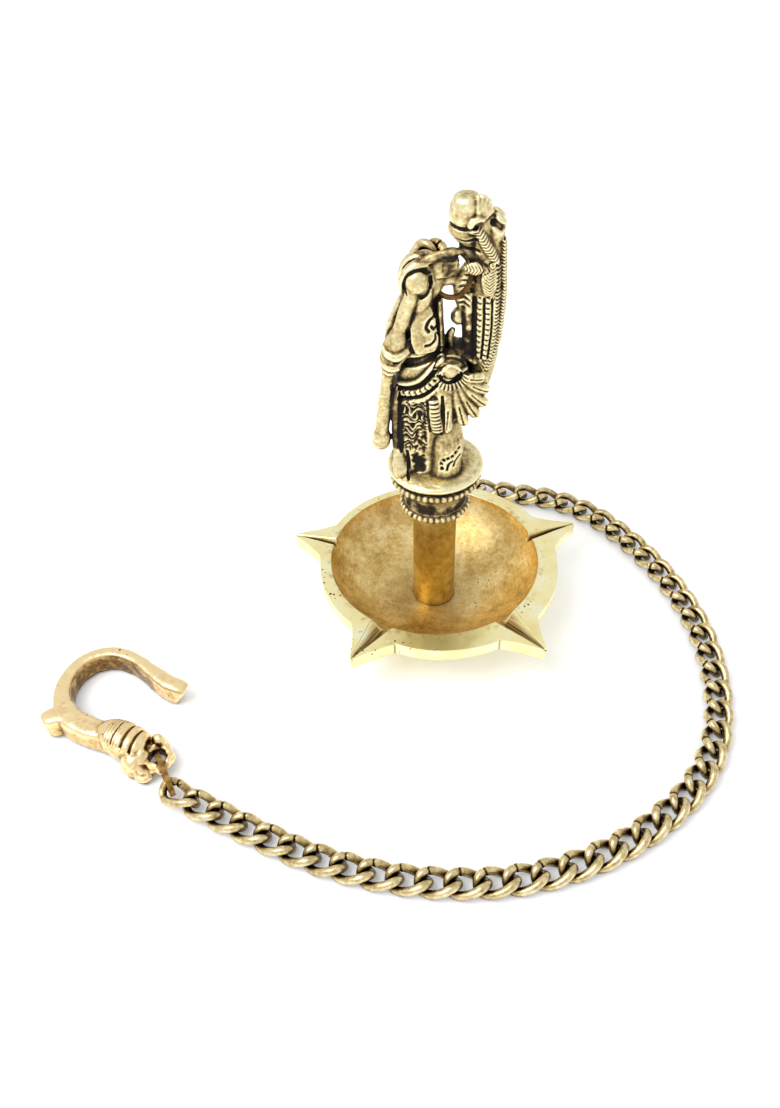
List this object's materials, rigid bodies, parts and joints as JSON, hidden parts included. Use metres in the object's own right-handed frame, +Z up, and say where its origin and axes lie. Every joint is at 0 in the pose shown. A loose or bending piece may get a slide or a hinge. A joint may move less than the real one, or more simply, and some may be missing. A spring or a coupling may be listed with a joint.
{
  "type": "hanging chain oil lamp",
  "caption": "Brass hanging oil lamp: lipped oil bowl on a flat foot, round stem, bird finial with a garland, suspension ring, curb chain and cast hook.",
  "frame": {"origin": "on the surface the lamp stands on, where the stem's axis meets the foot", "axes": "+Z up along the stem, -X the way the bird faces, -Y the side seen from the front"},
  "size_m": [0.2992, 0.2378, 0.2011],
  "materials": {
    "polished_cast_brass": "cast brass, turned and polished",
    "antiqued_cast_brass": "cast brass with darkened recesses",
    "aged_brass_wire": "drawn brass wire, aged"
  },
  "bodies": {
    "lamp": {"bowl": "polished_cast_brass", "stem": "polished_cast_brass", "bird": "antiqued_cast_brass"},
    "ring": {"ring": "aged_brass_wire"},
    "rise_01": {"rise_01": "aged_brass_wire"},
    "rise_02": {"rise_02": "aged_brass_wire"},
    "rise_03": {"rise_03": "aged_brass_wire"},
    "rise_04": {"rise_04": "aged_brass_wire"},
    "rise_05": {"rise_05": "aged_brass_wire"},
    "rise_06": {"rise_06": "aged_brass_wire"},
    "rise_07": {"rise_07": "aged_brass_wire"},
    "rise_08": {"rise_08": "aged_brass_wire"},
    "rise_09": {"rise_09": "aged_brass_wire"},
    "rise_10": {"rise_10": "aged_brass_wire"},
    "link_01": {"link_01": "aged_brass_wire"},
    "link_02": {"link_02": "aged_brass_wire"},
    "link_03": {"link_03": "aged_brass_wire"},
    "link_04": {"link_04": "aged_brass_wire"},
    "link_05": {"link_05": "aged_brass_wire"},
    "link_06": {"link_06": "aged_brass_wire"},
    "link_07": {"link_07": "aged_brass_wire"},
    "link_08": {"link_08": "aged_brass_wire"},
    "link_09": {"link_09": "aged_brass_wire"},
    "link_10": {"link_10": "aged_brass_wire"},
    "link_11": {"link_11": "aged_brass_wire"},
    "link_12": {"link_12": "aged_brass_wire"},
    "link_13": {"link_13": "aged_brass_wire"},
    "link_14": {"link_14": "aged_brass_wire"},
    "link_15": {"link_15": "aged_brass_wire"},
    "link_16": {"link_16": "aged_brass_wire"},
    "link_17": {"link_17": "aged_brass_wire"},
    "link_18": {"link_18": "aged_brass_wire"},
    "link_19": {"link_19": "aged_brass_wire"},
    "link_20": {"link_20": "aged_brass_wire"},
    "link_21": {"link_21": "aged_brass_wire"},
    "link_22": {"link_22": "aged_brass_wire"},
    "link_23": {"link_23": "aged_brass_wire"},
    "link_24": {"link_24": "aged_brass_wire"},
    "link_25": {"link_25": "aged_brass_wire"},
    "link_26": {"link_26": "aged_brass_wire"},
    "link_27": {"link_27": "aged_brass_wire"},
    "link_28": {"link_28": "aged_brass_wire"},
    "link_29": {"link_29": "aged_brass_wire"},
    "link_30": {"link_30": "aged_brass_wire"},
    "link_31": {"link_31": "aged_brass_wire"},
    "link_32": {"link_32": "aged_brass_wire"},
    "link_33": {"link_33": "aged_brass_wire"},
    "link_34": {"link_34": "aged_brass_wire"},
    "link_35": {"link_35": "aged_brass_wire"},
    "link_36": {"link_36": "aged_brass_wire"},
    "link_37": {"link_37": "aged_brass_wire"},
    "link_38": {"link_38": "aged_brass_wire"},
    "link_39": {"link_39": "aged_brass_wire"},
    "link_40": {"link_40": "aged_brass_wire"},
    "link_41": {"link_41": "aged_brass_wire"},
    "link_42": {"link_42": "aged_brass_wire"},
    "link_43": {"link_43": "aged_brass_wire"},
    "strap": {"strap": "aged_brass_wire"},
    "hook": {"hook": "polished_cast_brass"}
  },
  "joints": [
    {"name": "lamp_ring", "type": "hinge", "parent": "lamp", "child": "ring", "pos_m": [0, 0, 0.169], "axis": [1, 0, 0], "range_deg": [-2, 15]},
    {"name": "ring_rise_01", "type": "hinge", "parent": "ring", "child": "rise_01", "pos_m": [-0.00061, 0.00575, 0.17357], "axis": [0.9877, 0.1564, 0], "range_deg": [0, 8]},
    {"name": "rise_01_rise_02", "type": "hinge", "parent": "rise_01", "child": "rise_02", "pos_m": [-0.00363, 0.02483, 0.16707], "axis": [0.9877, 0.1564, 0], "range_deg": [0, 5]},
    {"name": "rise_02_rise_03", "type": "hinge", "parent": "rise_02", "child": "rise_03", "pos_m": [-0.00499, 0.03341, 0.14697], "axis": [0.9877, 0.1564, 0], "range_deg": [0, 5]},
    {"name": "rise_03_rise_04", "type": "hinge", "parent": "rise_03", "child": "rise_04", "pos_m": [-0.00615, 0.04074, 0.12632], "axis": [-0.1472, 0.9295, 0.3382], "range_deg": [0, 5]},
    {"name": "rise_04_rise_05", "type": "hinge", "parent": "rise_04", "child": "rise_05", "pos_m": [-0.00731, 0.04807, 0.10568], "axis": [0.9877, 0.1564, 0], "range_deg": [0, 5]},
    {"name": "rise_05_rise_06", "type": "hinge", "parent": "rise_05", "child": "rise_06", "pos_m": [-0.00847, 0.0554, 0.08503], "axis": [-0.1472, 0.9295, 0.3382], "range_deg": [0, 5]},
    {"name": "rise_06_rise_07", "type": "hinge", "parent": "rise_06", "child": "rise_07", "pos_m": [-0.00963, 0.06273, 0.06438], "axis": [0.9877, 0.1564, 0], "range_deg": [0, 5]},
    {"name": "rise_07_rise_08", "type": "hinge", "parent": "rise_07", "child": "rise_08", "pos_m": [-0.01079, 0.07006, 0.04373], "axis": [-0.1472, 0.9295, 0.3382], "range_deg": [0, 5]},
    {"name": "rise_08_rise_09", "type": "hinge", "parent": "rise_08", "child": "rise_09", "pos_m": [-0.00745, 0.07059, 0.02233], "axis": [0.9393, 0.1488, 0.309], "range_deg": [-12, 12]},
    {"name": "rise_09_rise_10", "type": "hinge", "parent": "rise_09", "child": "rise_10", "pos_m": [0.00769, 0.07299, 0.00701], "axis": [-0.1564, 0.9877, 0], "range_deg": [-12, 12]},
    {"name": "rise_10_link_01", "type": "hinge", "parent": "rise_10", "child": "link_01", "pos_m": [0.02883, 0.07633, 0.00362], "axis": [0, 0, 1], "range_deg": [-8, 15]},
    {"name": "link_01_link_02", "type": "hinge", "parent": "link_01", "child": "link_02", "pos_m": [0.03939, 0.07338, 0.00362], "axis": [0, 0, -1], "range_deg": [-15, 15]},
    {"name": "link_02_link_03", "type": "hinge", "parent": "link_02", "child": "link_03", "pos_m": [0.05, 0.07058, 0.00362], "axis": [-0.2554, -0.9668, 0], "range_deg": [-15, 15]},
    {"name": "link_03_link_04", "type": "hinge", "parent": "link_03", "child": "link_04", "pos_m": [0.06064, 0.06793, 0.00362], "axis": [0, 0, 1], "range_deg": [-15, 15]},
    {"name": "link_04_link_05", "type": "hinge", "parent": "link_04", "child": "link_05", "pos_m": [0.07069, 0.06352, 0.00362], "axis": [0.4019, 0.9157, 0], "range_deg": [-15, 15]},
    {"name": "link_05_link_06", "type": "hinge", "parent": "link_05", "child": "link_06", "pos_m": [0.07985, 0.05748, 0.00362], "axis": [0, 0, -1], "range_deg": [-15, 15]},
    {"name": "link_06_link_07", "type": "hinge", "parent": "link_06", "child": "link_07", "pos_m": [0.08786, 0.04999, 0.00362], "axis": [-0.6833, -0.7302, 0], "range_deg": [-15, 15]},
    {"name": "link_07_link_08", "type": "hinge", "parent": "link_07", "child": "link_08", "pos_m": [0.09449, 0.04125, 0.00362], "axis": [0, 0, 1], "range_deg": [-15, 15]},
    {"name": "link_08_link_09", "type": "hinge", "parent": "link_08", "child": "link_09", "pos_m": [0.10048, 0.03206, 0.00362], "axis": [0.8377, 0.5461, 0], "range_deg": [-15, 15]},
    {"name": "link_09_link_10", "type": "hinge", "parent": "link_09", "child": "link_10", "pos_m": [0.1058, 0.02246, 0.00362], "axis": [0, 0, 1], "range_deg": [-15, 15]},
    {"name": "link_10_link_11", "type": "hinge", "parent": "link_10", "child": "link_11", "pos_m": [0.11042, 0.01251, 0.00362], "axis": [-0.907, -0.421, 0], "range_deg": [-15, 15]},
    {"name": "link_11_link_12", "type": "hinge", "parent": "link_11", "child": "link_12", "pos_m": [0.11431, 0.00226, 0.00362], "axis": [0, 0, 1], "range_deg": [-15, 15]},
    {"name": "link_12_link_13", "type": "hinge", "parent": "link_12", "child": "link_13", "pos_m": [0.11747, -0.00825, 0.00362], "axis": [0.9578, 0.2874, 0], "range_deg": [-15, 15]},
    {"name": "link_13_link_14", "type": "hinge", "parent": "link_13", "child": "link_14", "pos_m": [0.11986, -0.01896, 0.00362], "axis": [0, 0, -1], "range_deg": [-15, 15]},
    {"name": "link_14_link_15", "type": "hinge", "parent": "link_14", "child": "link_15", "pos_m": [0.12137, -0.02982, 0.00362], "axis": [-0.9905, -0.1374, 0], "range_deg": [-15, 15]},
    {"name": "link_15_link_16", "type": "hinge", "parent": "link_15", "child": "link_16", "pos_m": [0.12198, -0.04077, 0.00362], "axis": [0, 0, 1], "range_deg": [-15, 15]},
    {"name": "link_16_link_17", "type": "hinge", "parent": "link_16", "child": "link_17", "pos_m": [0.12169, -0.05174, 0.00362], "axis": [0.9997, -0.0262, 0], "range_deg": [-15, 15]},
    {"name": "link_17_link_18", "type": "hinge", "parent": "link_17", "child": "link_18", "pos_m": [0.12051, -0.06265, 0.00362], "axis": [0, 0, -1], "range_deg": [-15, 15]},
    {"name": "link_18_link_19", "type": "hinge", "parent": "link_18", "child": "link_19", "pos_m": [0.11843, -0.07342, 0.00362], "axis": [-0.982, 0.1891, 0], "range_deg": [-15, 15]},
    {"name": "link_19_link_20", "type": "hinge", "parent": "link_19", "child": "link_20", "pos_m": [0.11548, -0.08399, 0.00362], "axis": [0, 0, 1], "range_deg": [-15, 15]},
    {"name": "link_20_link_21", "type": "hinge", "parent": "link_20", "child": "link_21", "pos_m": [0.11114, -0.09406, 0.00362], "axis": [0.9184, -0.3955, 0], "range_deg": [-15, 15]},
    {"name": "link_21_link_22", "type": "hinge", "parent": "link_21", "child": "link_22", "pos_m": [0.10549, -0.10346, 0.00362], "axis": [0, 0, -1], "range_deg": [-15, 15]},
    {"name": "link_22_link_23", "type": "hinge", "parent": "link_22", "child": "link_23", "pos_m": [0.09864, -0.11202, 0.00362], "axis": [-0.7804, 0.6252, 0], "range_deg": [-15, 15]},
    {"name": "link_23_link_24", "type": "hinge", "parent": "link_23", "child": "link_24", "pos_m": [0.09069, -0.11959, 0.00362], "axis": [0, 0, 1], "range_deg": [-15, 15]},
    {"name": "link_24_link_25", "type": "hinge", "parent": "link_24", "child": "link_25", "pos_m": [0.08212, -0.12643, 0.00362], "axis": [0.6239, -0.7815, 0], "range_deg": [-15, 15]},
    {"name": "link_25_link_26", "type": "hinge", "parent": "link_25", "child": "link_26", "pos_m": [0.07298, -0.1325, 0.00362], "axis": [0, 0, -1], "range_deg": [-15, 15]},
    {"name": "link_26_link_27", "type": "hinge", "parent": "link_26", "child": "link_27", "pos_m": [0.06335, -0.13776, 0.00362], "axis": [-0.4787, 0.878, 0], "range_deg": [-15, 15]},
    {"name": "link_27_link_28", "type": "hinge", "parent": "link_27", "child": "link_28", "pos_m": [0.0533, -0.14215, 0.00362], "axis": [0, 0, 1], "range_deg": [-15, 15]},
    {"name": "link_28_link_29", "type": "hinge", "parent": "link_28", "child": "link_29", "pos_m": [0.0429, -0.14565, 0.00362], "axis": [0.319, -0.9478, 0], "range_deg": [-15, 15]},
    {"name": "link_29_link_30", "type": "hinge", "parent": "link_29", "child": "link_30", "pos_m": [0.03224, -0.14823, 0.00362], "axis": [0, 0, -1], "range_deg": [-15, 15]},
    {"name": "link_30_link_31", "type": "hinge", "parent": "link_30", "child": "link_31", "pos_m": [0.02139, -0.14987, 0.00362], "axis": [-0.1495, 0.9888, 0], "range_deg": [-15, 15]},
    {"name": "link_31_link_32", "type": "hinge", "parent": "link_31", "child": "link_32", "pos_m": [0.01044, -0.15055, 0.00362], "axis": [0, 0, 1], "range_deg": [-15, 15]},
    {"name": "link_32_link_33", "type": "hinge", "parent": "link_32", "child": "link_33", "pos_m": [-0.00052, -0.15029, 0.00362], "axis": [-0.0244, -0.9997, 0], "range_deg": [-15, 15]},
    {"name": "link_33_link_34", "type": "hinge", "parent": "link_33", "child": "link_34", "pos_m": [-0.01145, -0.14927, 0.00362], "axis": [0, 0, -1], "range_deg": [-15, 15]},
    {"name": "link_34_link_35", "type": "hinge", "parent": "link_34", "child": "link_35", "pos_m": [-0.02228, -0.14752, 0.00362], "axis": [0.1599, 0.9871, 0], "range_deg": [-15, 15]},
    {"name": "link_35_link_36", "type": "hinge", "parent": "link_35", "child": "link_36", "pos_m": [-0.03296, -0.14503, 0.00362], "axis": [0, 0, 1], "range_deg": [-15, 15]},
    {"name": "link_36_link_37", "type": "hinge", "parent": "link_36", "child": "link_37", "pos_m": [-0.04345, -0.14183, 0.00362], "axis": [-0.2924, -0.9563, 0], "range_deg": [-15, 15]},
    {"name": "link_37_link_38", "type": "hinge", "parent": "link_37", "child": "link_38", "pos_m": [-0.0537, -0.13791, 0.00362], "axis": [0, 0, -1], "range_deg": [-15, 15]},
    {"name": "link_38_link_39", "type": "hinge", "parent": "link_38", "child": "link_39", "pos_m": [-0.06366, -0.13331, 0.00362], "axis": [0.4195, 0.9078, 0], "range_deg": [-15, 15]},
    {"name": "link_39_link_40", "type": "hinge", "parent": "link_39", "child": "link_40", "pos_m": [-0.0734, -0.12826, 0.00362], "axis": [0, 0, 1], "range_deg": [-15, 15]},
    {"name": "link_40_link_41", "type": "hinge", "parent": "link_40", "child": "link_41", "pos_m": [-0.08313, -0.1232, 0.00391], "axis": [-0.4617, -0.887, 0], "range_deg": [-15, 15]},
    {"name": "link_41_link_42", "type": "hinge", "parent": "link_41", "child": "link_42", "pos_m": [-0.09283, -0.11812, 0.00448], "axis": [-0.0464, 0.0242, -0.9986], "range_deg": [-15, 15]},
    {"name": "link_42_link_43", "type": "hinge", "parent": "link_42", "child": "link_43", "pos_m": [-0.10252, -0.11304, 0.00534], "axis": [0.4648, 0.8854, -0.0001], "range_deg": [-15, 15]},
    {"name": "link_43_strap", "type": "hinge", "parent": "link_43", "child": "strap", "pos_m": [-0.1107, -0.10872, 0.00591], "axis": [0, 0, 1], "range_deg": [-15, 15]},
    {"name": "strap_hook", "type": "hinge", "parent": "strap", "child": "hook", "pos_m": [-0.11865, -0.09257, 0.006], "axis": [0, 0, 1], "range_deg": [-15, 15]}
  ]
}
